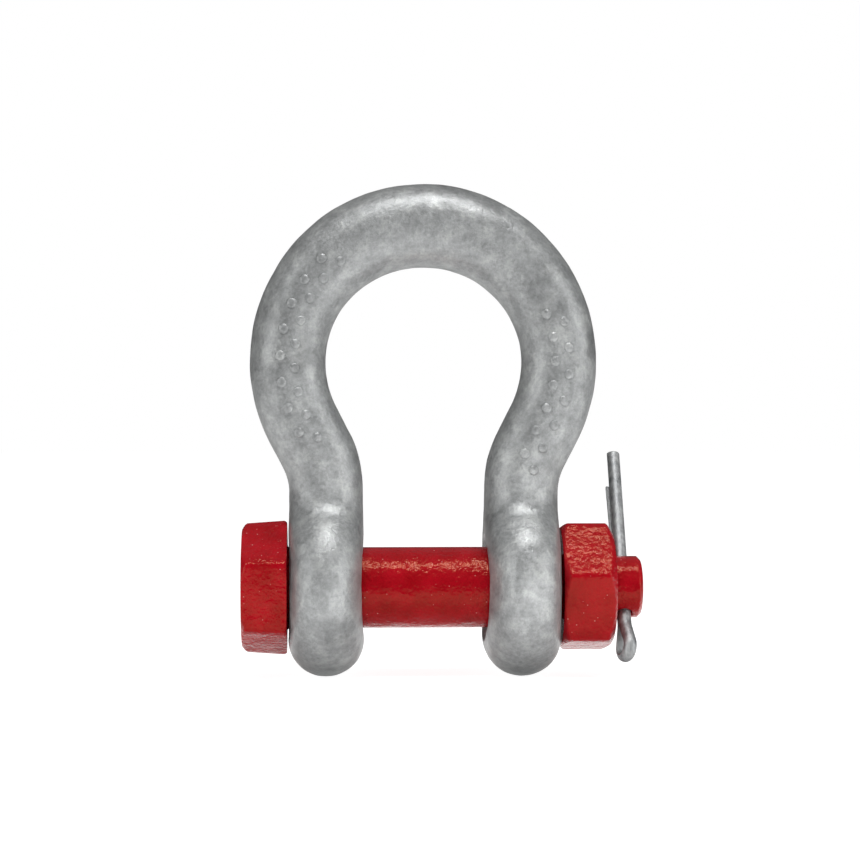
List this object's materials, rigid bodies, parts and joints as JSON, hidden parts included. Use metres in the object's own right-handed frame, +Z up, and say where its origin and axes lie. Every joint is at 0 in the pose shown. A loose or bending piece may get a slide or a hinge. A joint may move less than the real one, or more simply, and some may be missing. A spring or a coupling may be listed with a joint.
{
  "type": "bow shackle",
  "caption": "Bow shackle: a round-stock bow whose two eyes are closed by a hexagon-head bolt, with a nut locked by a split pin. Joins slings, chain or rope to a lifting or mooring point.",
  "frame": {"origin": "on the bolt's axis, midway between the two eyes", "axes": "+X along the bolt from its head to its nut, +Z up to the crown of the bow, +Y to the back"},
  "size_m": [0.1048, 0.0464, 0.1294],
  "materials": {
    "galvanised_forging": "dull, mottled hot-dip galvanised steel",
    "red_paint_bolt": "glossy red paint with a slight orange peel",
    "red_paint_nut": "glossy red paint with a slight orange peel",
    "zinc_wire": "bright zinc-plated drawn wire"
  },
  "bodies": {
    "bow": {"bow": "galvanised_forging"},
    "bolt": {"bolt": "red_paint_bolt"},
    "nut": {"nut": "red_paint_nut"},
    "split_pin": {"split_pin": "zinc_wire"}
  },
  "joints": [
    {"name": "bolt_spin", "type": "hinge", "parent": "bow", "child": "bolt", "pos_m": [0, 0, 0], "axis": [1, 0, 0], "continuous": true},
    {"name": "nut_turn", "type": "hinge", "parent": "bolt", "child": "nut", "pos_m": [0.0427, 0, 0], "axis": [1, 0, 0], "range_deg": [0, 140]},
    {"name": "split_pin_pull", "type": "slide", "parent": "bolt", "child": "split_pin", "axis": [0, -0.5299, -0.848], "range_m": [0, 0.056]}
  ]
}
